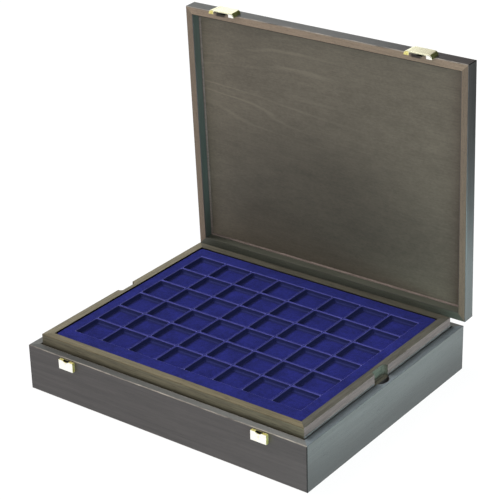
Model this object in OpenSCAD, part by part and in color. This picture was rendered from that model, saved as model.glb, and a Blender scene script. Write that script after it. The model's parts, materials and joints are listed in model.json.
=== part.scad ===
// Wooden coin case with a hinged lid, sprung catches and three lift-out trays with pocketed inserts.
// Millimetres, +Z up. The origin is at the middle of the base's underside, the front faces -Y.
// The case is built outwards from the pockets: pockets, insert, tray rails, case walls.

/* [Pockets] */
// Number of pockets from left to right
columns = 8; // [2:1:10]
// Number of pockets from front to back
rows = 6; // [2:1:8]
// Side of a square pocket at its mouth
pocket = 30.8; // [24:0.1:40]
// Depth of a pocket
pocket_depth = 4.4; // [3:0.1:6]
// Width of the ridge between two pockets, at its top
ridge_w = 2; // [1.5:0.1:4]
// How much wider a ridge gets on each side towards its foot
ridge_draft = 0.3; // [0:0.05:0.6]
// Bevel along the top edges of a ridge
ridge_bevel = 0.4; // [0.1:0.05:0.6]

/* [Insert] */
// Flat border of the insert at the left and right of the pockets
border_side = 11.5; // [5:0.1:20]
// Flat border of the insert at the front and back of the pockets
border_front = 15.5; // [5:0.1:20]
// Thickness of the formed sheet
sheet_t = 1.2; // [0.8:0.1:2]
// Radius of the insert's outer corners
insert_corner_r = 4; // [1:0.5:6]
// How far the insert's top lies below the top of the rails
insert_drop = 1.2; // [0.5:0.1:3]
// Gap between the insert and the rails
insert_gap = 0.3; // [0.1:0.05:1]

/* [Trays] */
// Width of a tray's rails
rail_t = 8.5; // [8:0.5:14]
// Thickness of a tray's floor panel
tray_floor_t = 3; // [2:0.5:4]
// How far the floor panel is let into the rails
tray_rebate_w = 4; // [2:0.5:6]
// Gap between a tray and the left and right walls
tray_gap_side = 1.5; // [0.5:0.1:4]
// Gap between a tray and the front and back walls
tray_gap_front = 1.3; // [0.5:0.1:4]
// Gap under each tray where it rests
rest_gap = 0.2; // [0.1:0.05:0.5]
// Room between the top tray and the closed lid's panel
tray_headroom = 1.3; // [1:0.1:4]

/* [Finger scoops] */
// Width of the scoop in a tray's side rail
scoop_w = 22; // [16:1:30]
// Depth of the scoop into the rail
scoop_d = 4.5; // [3:0.5:6]
// Height of the ledge that is left under the scoop
scoop_ledge = 5; // [3.5:0.5:8]
// Radius of the upright scoop in a base side wall
wall_scoop_r = 10.5; // [8:0.5:14]
// Depth of the upright scoop into the wall
wall_scoop_d = 5.2; // [2:0.1:6]
// Height of the wood left below the upright scoop
wall_scoop_z = 12; // [8:1:30]

/* [Case] */
// Height of the base without the lid
base_h = 47; // [40:0.5:60]
// Thickness of the case's walls
wall_t = 8; // [7:0.5:12]
// Thickness of the bottom panel
bottom_t = 4.5; // [3:0.5:6]
// How far the bottom and lid panels are let into the walls
rebate_w = 4; // [2:0.5:5]
// Height of the lid's walls
lid_h = 14.5; // [13.5:0.5:20]
// Thickness of the lid's panel
lid_panel_t = 3.5; // [2.5:0.5:5]
// Gap between the rims of the base and the closed lid
seam_gap = 0.4; // [0.3:0.05:0.8]
// Angle at which the lid stands open, in degrees
lid_open = 88; // [80:1:95]

/* [Hinges] */
// Distance from a hinge's middle to the end of the case
hinge_inset = 60; // [30:1:100]
// Length of a hinge along its pin
hinge_w = 34; // [26:1:50]
// Length of the lid leaf's middle knuckle
mid_knuckle_w = 14; // [8:0.5:16]
// Gap between neighbouring knuckles
knuckle_gap = 0.25; // [0.1:0.05:0.5]
// Outer radius of a knuckle
knuckle_r = 2; // [1.8:0.05:2.2]
// Radius of the hinge pin
hinge_pin_r = 1.05; // [0.8:0.05:1.2]
// Distance of the pin behind the back of the case
hinge_offset = 2.3; // [2.3:0.05:4]
// Thickness of a leaf
leaf_t = 0.9; // [0.7:0.1:1.2]
// Height of a leaf, from the pin
leaf_h = 11.5; // [9:0.5:12]
// Gap between a leaf's plate and the other leaf's turning knuckle
leaf_gap = 0.4; // [0.2:0.05:1]
// Length of the nose that stops the lid, from the pin
stop_len = 6.5; // [5:0.5:9]
// Thickness of the nose
stop_t = 1.3; // [0.8:0.1:2]
// Gap between the nose and the base leaf with the lid open
stop_gap = 0.15; // [0.1:0.05:0.3]
// Running clearance of a pin in its bore, on the radius
pin_clearance = 0.05; // [0.02:0.01:0.1]

/* [Screws and nails] */
// Radius of a hinge screw
screw_r = 1; // [0.8:0.1:1.2]
// Radius of a screw's countersunk head
screw_head_r = 1.9; // [1.5:0.1:2.2]
// Length of a screw
screw_len = 6.5; // [4:0.5:6.5]
// Distance of a screw from the hinge's middle
screw_x = 11; // [8:0.5:14]
// Radius of a catch nail
nail_r = 0.6; // [0.4:0.1:0.8]
// Radius of a nail's head
nail_head_r = 1.1; // [0.9:0.1:1.4]
// Thickness of a nail's head
nail_head_t = 0.5; // [0.3:0.1:0.8]
// Length of a nail in the wood
nail_len = 5.5; // [3:0.5:6.5]
// Distance of a nail from the catch's middle
nail_x = 4; // [3.5:0.1:4.5]
// Clearance of a screw, nail or prong in the wood
wood_clearance = 0.05; // [0.02:0.01:0.1]

/* [Keepers] */
// Distance from a catch's middle to the end of the case
clasp_inset = 49; // [30:1:80]
// Width of a keeper
keeper_w = 17; // [15:0.5:17]
// Height of a keeper
keeper_h = 9.5; // [8:0.5:14]
// How far a keeper stands out from the wall
keeper_d = 3.3; // [3:0.1:4]
// Thickness of the keeper's brass
keeper_t = 0.8; // [0.6:0.1:1]
// How far a keeper's top lies below the rim
keeper_drop = 1.6; // [1.4:0.1:3]
// Width of the slot for the catch's tongue
slot_w = 7.5; // [7:0.1:9]
// Depth of the dip in the keeper's front edge
dip_d = 1.3; // [0.3:0.1:1.6]
// Radius of the dip
dip_r = 5; // [4:0.5:8]
// Length of a prong in the wood
prong_len = 5; // [3:0.5:6]
// Height of a prong
prong_h = 2.4; // [1.5:0.1:4]

/* [Catches] */
// Width of the top of a lever
lever_w = 22; // [18:0.5:24]
// Height of the top over the lid's front face
lever_top = 4.5; // [4.4:0.1:5.5]
// Thickness of the lever's brass
lever_t = 0.9; // [0.7:0.05:1]
// Reach of the top above the base's rim
lever_up = 7; // [6.8:0.1:9]
// Height above the base's rim at which the top bends down
bend_w = 2.5; // [1.5:0.1:2.9]
// Height of the nose, where the top ends, over the lid's front face
nose_v = 2.6; // [2.4:0.1:3.2]
// Reach of the nose below the base's rim
lever_lap = 0.8; // [0.4:0.1:1]
// Reach of the rounded sides below the base's rim
side_hang = 4; // [2:0.5:6]
// Height above the base's rim at which the sides reach their full width
wing_up = 1; // [0:0.5:4]
// Gap between the lever's sides and the wood
side_gap = 0.5; // [0.3:0.05:0.8]
// Width of the finger lip along each side
lip_w = 4; // [1:0.5:5]
// Width of the tongue
tongue_w = 6.5; // [4:0.1:6.5]
// Thickness of the tongue
tongue_t = 0.6; // [0.4:0.05:0.8]
// Distance of the tongue from the wood
tongue_v = 0.4; // [0.3:0.05:0.5]
// Reach of the tongue below the base's rim
tongue_hang = 4.6; // [3:0.1:6]
// Height of a catch's pin above the base's rim
catch_pin_w = 4.8; // [4.5:0.1:5]
// Distance of a catch's pin from the wood
catch_pin_v = 2.2; // [2:0.05:2.3]
// Radius of a catch's pin
catch_pin_r = 0.7; // [0.5:0.05:0.8]
// Thickness of the catch plate
plate_t = 0.8; // [0.6:0.1:0.8]
// Distance of a lug's outer face from the catch's middle
lug_x = 6.8; // [6.5:0.1:7]
// Thickness of a lug of the plate or an ear of the lever
lug_t = 1; // [0.8:0.1:1]
// Side gap between a lug and an ear
lug_gap = 0.4; // [0.2:0.05:0.4]
// Half the width of a lug or an ear along the plate
lug_half = 1.6; // [1.4:0.1:1.7]
// Width of the leaf spring
spring_w = 4; // [2:0.5:4]
// Thickness of the leaf spring
spring_t = 0.4; // [0.3:0.05:0.5]
// Gap between the spring's tip and the lever
spring_gap = 0.45; // [0.4:0.05:0.6]

/* [Hidden] */
$fn = 48;
eps = 0.01;

TRAYS = ["bottom_tray", "middle_tray", "top_tray"];
SIDES = ["left", "right"];
FRAME = ["front", "right", "back", "left"];
tray_count = len(TRAYS);

pitch = pocket + ridge_w;
field_w = columns * pitch - ridge_w;
field_d = rows * pitch - ridge_w;
insert_w = field_w + 2 * border_side;
insert_d = field_d + 2 * border_front;
tray_w = insert_w + 2 * (insert_gap + rail_t);
tray_d = insert_d + 2 * (insert_gap + rail_t);
case_w = tray_w + 2 * (tray_gap_side + wall_t);
case_d = tray_d + 2 * (tray_gap_front + wall_t);

tray_proud = lid_h - lid_panel_t + seam_gap - tray_headroom;
tray_h = (base_h + tray_proud - bottom_t) / tray_count - rest_gap;
insert_h = tray_h - tray_floor_t - insert_drop;

hinge_x = case_w / 2 - hinge_inset;
hinge_y = case_d / 2 + hinge_offset;
hinge_z = base_h + seam_gap / 2;
outer_knuckle_w = (hinge_w - mid_knuckle_w) / 2 - knuckle_gap;
plate_start = knuckle_r + leaf_gap;
screw_z = (plate_start + leaf_h) / 2;

clasp_x = case_w / 2 - clasp_inset;
lid_rim = base_h + seam_gap;
side_r = lever_top - side_gap;
under_top = lever_top - lever_t;
ear_x = lug_x + lug_gap;
plate_low = 2 * lever_t;
nail_w = (plate_low + catch_pin_w) / 2;

wood = "#4b4543";
inner_wood = "#6f6355";
tray_wood = "#64594a";
flock = "#2b2a72";
brass = "#d9c06a";

function tray_z(i) = bottom_t + rest_gap + i * (tray_h + rest_gap);
function nose_at(w) =
    nose_v + (lever_top - nose_v) * (w + lever_lap) / (bend_w + lever_lap);
function side_sign(side) = side == "left" ? -1 : 1;

// A block centred on X and Y that stands on Z = 0
module slab(w, d, h) {
    translate([-w / 2, -d / 2, 0]) cube([w, d, h]);
}

// A block between two opposite corners
module between(low, high) {
    translate(low) cube(high - low);
}

// A slab with round upright corners
module round_slab(w, d, h, r) {
    slab(w - 2 * r, d, h);
    slab(w, d - 2 * r, h);
    for (x = [-1, 1], y = [-1, 1])
        translate([x * (w / 2 - r), y * (d / 2 - r), 0]) cylinder(h = h, r = r);
}

// A board of a mitred frame, turned to its side of the frame
module mitred_board(f, w, d, t, h) {
    turned = f == "left" || f == "right";
    length = turned ? d : w;
    reach = (turned ? w : d) / 2;
    angle = f == "front" ? 0 : f == "right" ? 90 : f == "back" ? 180 : 270;
    rotate([0, 0, angle])
        linear_extrude(h)
            polygon([
                [-length / 2, -reach],
                [length / 2, -reach],
                [length / 2 - t, t - reach],
                [t - length / 2, t - reach]
            ]);
}

// Moves a closed lid's piece to where the open lid holds it
module in_open_lid() {
    translate([0, hinge_y, hinge_z])
        rotate([-lid_open, 0, 0])
            translate([0, -hinge_y, -hinge_z]) children();
}

// A hinge's own frame: X along the pin, with the lid closed
module at_hinge(side) {
    translate([side_sign(side) * hinge_x, hinge_y, hinge_z]) children();
}

// A catch's own frame: X along the front, -Y out of the wood, Z up from the base's rim
module at_clasp(side) {
    translate([side_sign(side) * clasp_x, -case_d / 2, base_h]) children();
}

// A round rod along X, centred
module rod(length, r) {
    rotate([0, 90, 0]) cylinder(h = length, r = r, center = true);
}

// A round rod along -Y, from the face at Y = 0 into the open
module stud(length, r) {
    rotate([90, 0, 0]) cylinder(h = length, r = r);
}

// Base

module bottom_blank() {
    slab(case_w - 2 * (wall_t - rebate_w), case_d - 2 * (wall_t - rebate_w), bottom_t);
}

module base_bottom_panel() {
    color(inner_wood) bottom_blank();
}

module wall_scoop(side) {
    inner = case_w / 2 - wall_t;
    translate([side_sign(side) * (inner + wall_scoop_d - wall_scoop_r), 0, wall_scoop_z])
        cylinder(h = base_h, r = wall_scoop_r);
}

module prongs(clearance) {
    for (x = [-1, 1])
        translate([x * (keeper_w - keeper_t) / 2, prong_len / 2, -keeper_drop - keeper_h / 2])
            cube([keeper_t + 2 * clearance, prong_len + 2 * clearance, prong_h + 2 * clearance],
                center = true);
}

module base_wall(f) {
    color(wood)
        difference() {
            mitred_board(f, case_w, case_d, wall_t, base_h);
            bottom_blank();
            if (f == "left" || f == "right") wall_scoop(f);
            if (f == "front") for (s = SIDES) at_clasp(s) prongs(wood_clearance);
            if (f == "back") for (s = SIDES) at_hinge(s) base_screws(wood_clearance);
        }
}

// Lid, drawn closed and then opened

module lid_blank() {
    translate([0, 0, lid_rim + lid_h - lid_panel_t])
        slab(case_w - 2 * (wall_t - rebate_w), case_d - 2 * (wall_t - rebate_w), lid_panel_t);
}

module lid_top_panel() {
    color(inner_wood) in_open_lid() lid_blank();
}

module lid_wall(f) {
    color(wood)
        in_open_lid()
            difference() {
                translate([0, 0, lid_rim]) mitred_board(f, case_w, case_d, wall_t, lid_h);
                lid_blank();
                if (f == "back") for (s = SIDES) at_hinge(s) lid_screws(wood_clearance);
                if (f == "front") for (s = SIDES) at_clasp(s) nails(wood_clearance);
            }
}

// Trays

module tray_floor_blank() {
    slab(tray_w - 2 * (rail_t - tray_rebate_w), tray_d - 2 * (rail_t - tray_rebate_w), tray_floor_t);
}

module tray_floor(i) {
    color(tray_wood) translate([0, 0, tray_z(i)]) tray_floor_blank();
}

// Flat-backed scoop with quarter-round ends, cut down from the top of a side rail
module rail_scoop(side) {
    flat = scoop_w / 2 - scoop_d;
    translate([side_sign(side) * tray_w / 2, 0, scoop_ledge]) {
        slab(2 * scoop_d, 2 * flat, tray_h);
        for (y = [-1, 1]) translate([0, y * flat, 0]) cylinder(h = tray_h, r = scoop_d);
    }
}

module tray_rail(i, f) {
    color(tray_wood)
        translate([0, 0, tray_z(i)])
            difference() {
                mitred_board(f, tray_w, tray_d, rail_t, tray_h);
                tray_floor_blank();
                if (f == "left" || f == "right") rail_scoop(f);
            }
}

// Formed insert: a hollow sheet with one wide recess, and the ridges that part it into pockets

module at_insert(i) {
    translate([0, 0, tray_z(i) + tray_floor_t]) children();
}

module insert_sheet(i) {
    recess_z = insert_h - pocket_depth;
    color(flock)
        at_insert(i)
            difference() {
                round_slab(insert_w, insert_d, insert_h, insert_corner_r);
                translate([0, 0, recess_z]) slab(field_w, field_d, insert_h);
                translate([0, 0, -eps])
                    round_slab(insert_w - 2 * sheet_t, insert_d - 2 * sheet_t,
                        recess_z - sheet_t + eps, insert_corner_r - sheet_t / 2);
            }
}

// A ridge along Y, standing on Z = 0
module ridge(length) {
    top = ridge_w / 2;
    foot = top + ridge_draft;
    translate([0, length / 2, 0])
        rotate([90, 0, 0])
            linear_extrude(length)
                polygon([
                    [-foot, 0],
                    [foot, 0],
                    [top, pocket_depth - ridge_bevel],
                    [top - ridge_bevel, pocket_depth],
                    [ridge_bevel - top, pocket_depth],
                    [-top, pocket_depth - ridge_bevel]
                ]);
}

module insert_column_ridges(i) {
    color(flock)
        at_insert(i)
            for (c = [1:columns - 1])
                translate([c * pitch - ridge_w / 2 - field_w / 2, 0, insert_h - pocket_depth])
                    ridge(field_d);
}

module insert_row_ridges(i) {
    color(flock)
        at_insert(i)
            for (c = [0:columns - 1], r = [1:rows - 1])
                translate([
                    c * pitch + pocket / 2 - field_w / 2,
                    r * pitch - ridge_w / 2 - field_d / 2,
                    insert_h - pocket_depth
                ])
                    rotate([0, 0, 90]) ridge(pocket - 2 * ridge_draft);
}

// Hinges

module knuckle(length) {
    rod(length, knuckle_r);
    between([-length / 2, -hinge_offset, -plate_start - eps],
        [length / 2, leaf_t - hinge_offset, 0]);
}

module leaf_plate() {
    between([-hinge_w / 2, -hinge_offset, -leaf_h], [hinge_w / 2, leaf_t - hinge_offset, -plate_start]);
}

// Countersunk screws through a leaf, drawn below the pin
module leaf_screws(clearance) {
    for (x = [-1, 1])
        translate([x * screw_x, leaf_t - hinge_offset, -screw_z]) {
            rotate([90, 0, 0]) cylinder(h = screw_len + clearance, r = screw_r + clearance);
            rotate([90, 0, 0])
                cylinder(h = leaf_t, r1 = screw_head_r + clearance, r2 = screw_r + clearance);
        }
}

module base_screws(clearance) {
    leaf_screws(clearance);
}

// The lid leaf is the base leaf mirrored in the pin, with the lid closed
module lid_screws(clearance) {
    mirror([0, 0, 1]) leaf_screws(clearance);
}

module hinge_base_leaf(side) {
    color(brass)
        at_hinge(side)
            difference() {
                union() {
                    leaf_plate();
                    for (x = [-1, 1])
                        translate([x * (hinge_w - outer_knuckle_w) / 2, 0, 0])
                            knuckle(outer_knuckle_w);
                }
                rod(hinge_w + 2 * knuckle_gap, hinge_pin_r + pin_clearance);
                base_screws(wood_clearance);
            }
}

// The nose points down behind the base leaf when the lid is open, and backwards when it is closed
module stop_nose() {
    face = leaf_t - hinge_offset + stop_gap;
    root = -(hinge_pin_r + knuckle_r) / 2;
    rotate([lid_open, 0, 0])
        between([-mid_knuckle_w / 2, face, -stop_len], [mid_knuckle_w / 2, face + stop_t, root]);
}

module hinge_lid_leaf(side) {
    color(brass)
        in_open_lid()
            at_hinge(side)
                difference() {
                    union() {
                        mirror([0, 0, 1]) leaf_plate();
                        mirror([0, 0, 1]) knuckle(mid_knuckle_w);
                        stop_nose();
                    }
                    rod(hinge_w + 2 * knuckle_gap, hinge_pin_r + pin_clearance);
                    lid_screws(wood_clearance);
                }
}

module hinge_pin(side) {
    color(brass) at_hinge(side) rod(hinge_w, hinge_pin_r);
}

module hinge_screws_base() {
    color(brass) for (s = SIDES) at_hinge(s) base_screws(0);
}

module hinge_screws_lid() {
    color(brass) in_open_lid() for (s = SIDES) at_hinge(s) lid_screws(0);
}

// Keepers

module keeper(side) {
    half = keeper_w / 2;
    low = -keeper_drop - keeper_h;
    color(brass)
        at_clasp(side) {
            difference() {
                between([-half, -keeper_d, low], [half, 0, -keeper_drop]);
                between([keeper_t - half, keeper_t - keeper_d, low + keeper_t],
                    [half - keeper_t, eps, -keeper_drop - keeper_t]);
                between([-slot_w / 2, keeper_t - keeper_d, -keeper_drop - 2 * keeper_t],
                    [slot_w / 2, eps, eps]);
                translate([0, 0, dip_r - keeper_drop - dip_d]) stud(2 * keeper_d, dip_r);
            }
            prongs(0);
        }
}

// Catches

module catch_plate(side) {
    color(brass)
        in_open_lid()
            at_clasp(side)
                difference() {
                    union() {
                        between([-lug_x, -plate_t, plate_low], [lug_x, 0, lever_up - lever_t / 2]);
                        for (x = [-1, 1])
                            translate([x * (lug_x - lug_t / 2), 0, 0])
                                between([-lug_t / 2, spring_gap - under_top, catch_pin_w - lug_half],
                                    [lug_t / 2, -eps, catch_pin_w + lug_half]);
                    }
                    translate([0, -catch_pin_v, catch_pin_w])
                        rod(2 * ear_x, catch_pin_r + pin_clearance);
                    nails(wood_clearance);
                }
}

module nails(clearance) {
    for (x = [-1, 1])
        translate([x * nail_x, 0, nail_w]) {
            translate([0, nail_len, 0])
                stud(nail_len + plate_t + eps, nail_r + clearance);
            translate([0, -plate_t, 0]) stud(nail_head_t, nail_head_r);
        }
}

module catch_nails() {
    color(brass) in_open_lid() for (s = SIDES) at_clasp(s) nails(0);
}

module catch_pin(side) {
    color(brass)
        in_open_lid()
            at_clasp(side)
                translate([0, -catch_pin_v, catch_pin_w]) rod(2 * (ear_x + lug_t), catch_pin_r);
}

module catch_spring(side) {
    foot_low = nail_w;
    tip_w = lever_up - lever_t;
    color(brass)
        in_open_lid()
            at_clasp(side) {
                between([-spring_w / 2, -plate_t - spring_t, foot_low], [spring_w / 2, -plate_t, tip_w]);
                between([-spring_w / 2, spring_gap - under_top, tip_w - spring_t],
                    [spring_w / 2, -plate_t, tip_w]);
            }
}

// Body of a lever's hood: a flat top with quarter-round sides, one skin smaller all round
module hood_body(skin) {
    low = -side_hang - skin;
    high = lever_up + skin;
    between([-lever_w / 2, skin - lever_top, low], [lever_w / 2, skin - side_gap, high]);
    for (x = [-1, 1])
        translate([x * lever_w / 2, -side_gap, low]) cylinder(h = high - low, r = side_r - skin);
}

// Room under a lever's top, which bends down to its nose, seen from the side
module under_nose(skin) {
    reach = 2 * side_hang;
    rotate([90, 0, 90])
        linear_extrude(4 * lever_w, center = true)
            polygon([
                [2 * lever_top, -reach],
                [skin - nose_at(-reach), -reach],
                [skin - lever_top, bend_w],
                [skin - lever_top, 2 * lever_up],
                [2 * lever_top, 2 * lever_up]
            ]);
}

// Outline of a lever from the front: the sides widen from the far edge towards the rim
module lever_outline() {
    far = lever_w / 2;
    lobe = far + side_r;
    wing = lobe + lip_w;
    translate([0, -side_gap, 0])
        rotate([90, 0, 0])
            linear_extrude(lever_top)
                polygon([
                    [-far, lever_up],
                    [-wing, wing_up],
                    [-wing, -lever_lap],
                    [-lobe, -side_hang],
                    [lobe, -side_hang],
                    [wing, -lever_lap],
                    [wing, wing_up],
                    [far, lever_up]
                ]);
}

module lever_hood() {
    far = lever_w / 2;
    difference() {
        intersection() {
            hood_body(0);
            under_nose(0);
            lever_outline();
        }
        intersection() {
            hood_body(lever_t);
            under_nose(lever_t);
        }
        between([-far, -2 * lever_top, -2 * side_hang], [far, 0, -lever_lap]);
    }
}

// The finger lips along both sides
module lever_lips() {
    foot = lever_w / 2 + side_r - lever_t;
    intersection() {
        for (x = [0, 1])
            mirror([x, 0, 0])
                between([foot, -side_gap - lever_t, -lever_lap],
                    [foot + lever_t + lip_w, -side_gap, lever_up]);
        lever_outline();
    }
}

module lever_ear() {
    between([ear_x, -under_top - eps, catch_pin_w - lug_half],
        [ear_x + lug_t, -plate_t - lug_gap, catch_pin_w + lug_half]);
}

// The tongue hangs from a web that joins it to the underside of the hood
module tongue() {
    half = tongue_w / 2;
    web_v = nose_at(lever_t / 2) - lever_t / 2;
    between([-half, -tongue_v - tongue_t, -tongue_hang], [half, -tongue_v, lever_t]);
    between([-half, -web_v, 0], [half, -tongue_v, lever_t]);
}

module catch_lever(side) {
    color(brass)
        in_open_lid()
            at_clasp(side)
                difference() {
                    union() {
                        lever_hood();
                        lever_lips();
                        for (x = [0, 1]) mirror([x, 0, 0]) lever_ear();
                        tongue();
                    }
                    translate([0, -catch_pin_v, catch_pin_w])
                        rod(2 * (ear_x + lug_t + lug_gap), catch_pin_r + pin_clearance);
                }
}

for (f = FRAME) {
    base_wall(f);
    lid_wall(f);
}
base_bottom_panel();
lid_top_panel();
for (i = [0:tray_count - 1]) {
    for (f = FRAME)
        tray_rail(i, f);
    tray_floor(i);
    insert_sheet(i);
    insert_column_ridges(i);
    insert_row_ridges(i);
}
for (s = SIDES) {
    hinge_base_leaf(s);
    hinge_lid_leaf(s);
    hinge_pin(s);
    keeper(s);
    catch_plate(s);
    catch_lever(s);
    catch_pin(s);
    catch_spring(s);
}
hinge_screws_base();
hinge_screws_lid();
catch_nails();
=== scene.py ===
"""Looks of a wooden coin case: boards, lift-out trays with flocked inserts, brass catches and hinges."""
import json
from contextlib import contextmanager
from math import radians

import bmesh
import bpy
from mathutils import Euler, Matrix, Vector


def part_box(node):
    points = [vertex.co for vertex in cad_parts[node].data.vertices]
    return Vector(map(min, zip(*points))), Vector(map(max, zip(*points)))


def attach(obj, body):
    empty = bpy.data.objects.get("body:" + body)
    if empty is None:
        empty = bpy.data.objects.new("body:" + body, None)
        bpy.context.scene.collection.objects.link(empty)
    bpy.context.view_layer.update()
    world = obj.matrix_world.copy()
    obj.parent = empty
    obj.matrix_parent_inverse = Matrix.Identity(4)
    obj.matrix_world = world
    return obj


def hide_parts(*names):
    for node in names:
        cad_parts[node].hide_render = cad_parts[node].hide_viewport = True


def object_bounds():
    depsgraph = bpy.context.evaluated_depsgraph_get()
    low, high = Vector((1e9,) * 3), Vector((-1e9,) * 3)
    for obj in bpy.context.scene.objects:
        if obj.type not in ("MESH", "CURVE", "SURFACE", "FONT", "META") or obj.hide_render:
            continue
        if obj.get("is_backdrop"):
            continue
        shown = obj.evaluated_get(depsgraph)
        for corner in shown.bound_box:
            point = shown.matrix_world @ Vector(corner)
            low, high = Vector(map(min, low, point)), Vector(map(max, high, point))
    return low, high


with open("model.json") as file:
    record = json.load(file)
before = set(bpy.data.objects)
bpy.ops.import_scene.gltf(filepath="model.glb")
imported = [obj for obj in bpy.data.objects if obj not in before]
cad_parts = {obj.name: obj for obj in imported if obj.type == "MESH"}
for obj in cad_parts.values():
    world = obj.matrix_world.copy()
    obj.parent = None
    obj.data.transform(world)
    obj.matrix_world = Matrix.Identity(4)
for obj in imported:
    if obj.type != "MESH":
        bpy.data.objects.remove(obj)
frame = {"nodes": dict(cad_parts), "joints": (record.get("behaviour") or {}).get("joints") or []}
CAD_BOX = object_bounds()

bl_info = {
    "name": "Coin Case",
    "version": (1, 0, 0),
    "blender": (4, 5, 0),
    "location": "3D View > Sidebar > Coin Case",
    "description": "Models the boards, trays, inserts and brass fittings of a coin case",
    "category": "Mesh",
}

MM = 0.001
NEAR = 0.1 * MM  # how close to a place a face or an edge counts as lying there
NODES = frame["nodes"]
FRAME_SIDES = {
    "front": Vector((0, -1, 0)),
    "right": Vector((1, 0, 0)),
    "back": Vector((0, 1, 0)),
    "left": Vector((-1, 0, 0)),
}
HANDS = {"left": -1, "right": 1}
TRAYS = ("bottom_tray", "middle_tray", "top_tray")
UP, FRONT, BACK = Vector((0, 0, 1)), FRAME_SIDES["front"], FRAME_SIDES["back"]

LID_HINGE = next(j for j in frame["joints"] if j["name"] == "lid_hinge")
HINGE_PIN = Matrix.Translation(LID_HINGE["pos_m"])
OPEN_LID = HINGE_PIN @ Matrix.Rotation(-radians(LID_HINGE["range_deg"][1]), 4, "X") @ HINGE_PIN.inverted()
SHUT_LID = OPEN_LID.inverted()


def shut_box(node):
    """Lowest and highest corner that a node of the lid has when the lid is shut."""
    points = [SHUT_LID @ v.co for v in NODES[node].data.vertices]
    return tuple(Vector([pick_one(p[i] for p in points) for i in range(3)]) for pick_one in (min, max))


def whole_box(boxes):
    """Lowest and highest corner of several boxes together."""
    lows, highs = zip(*boxes)
    return (Vector([min(p[i] for p in lows) for i in range(3)]),
            Vector([max(p[i] for p in highs) for i in range(3)]))


BASE_BOX = whole_box(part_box(f"base_{side}_wall") for side in FRAME_SIDES)
BASE_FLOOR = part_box("base_bottom_panel")
LID_BOX = whole_box(shut_box(f"lid_{side}_wall") for side in FRAME_SIDES)
LID_PANEL = shut_box("lid_top_panel")
TRAY_BOX = whole_box(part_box(f"bottom_tray_{side}_rail") for side in FRAME_SIDES)
TRAY_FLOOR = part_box("bottom_tray_floor")
INSERT_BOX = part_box("bottom_tray_insert_sheet")
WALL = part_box("base_front_wall")[1].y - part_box("base_front_wall")[0].y
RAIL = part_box("bottom_tray_front_rail")[1].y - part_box("bottom_tray_front_rail")[0].y
TRAY_STEPS = [Vector((0, 0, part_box(f"{t}_floor")[0].z - TRAY_FLOOR[0].z)) for t in TRAYS]
FRONT_FACE = BASE_BOX[0].y
RIM = BASE_BOX[1].z
LID_INNER_EDGE = (OPEN_LID @ Vector((0, LID_BOX[0].y + WALL, LID_BOX[0].z))).z
CLASP_X = {hand: sum(box.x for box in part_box(f"keeper_{hand}")) / 2 for hand in HANDS}


# Finishes

class Value:
    """A socket of a finish; arithmetic on it adds Math nodes."""

    def __init__(self, finish, socket):
        self.finish = finish
        self.socket = socket

    def math(self, operation, *terms):
        return self.finish.node("ShaderNodeMath", {"operation": operation}, dict(enumerate(terms)))

    def __add__(self, other):
        return self.math("ADD", self, other)

    __radd__ = __add__

    def __sub__(self, other):
        return self.math("SUBTRACT", self, other)

    def __rsub__(self, other):
        return self.math("SUBTRACT", other, self)

    def __mul__(self, other):
        return self.math("MULTIPLY", self, other)

    __rmul__ = __mul__

    def __mod__(self, other):
        return self.math("FLOORED_MODULO", self, other)

    def __abs__(self):
        return self.math("ABSOLUTE", self)

    def step(self, low, high):
        """0 below low and 1 above high, with a smooth step between."""
        return self.finish.node("ShaderNodeMapRange", {"interpolation_type": "SMOOTHSTEP"},
                                {"Value": self, "From Min": low, "From Max": high})


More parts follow.
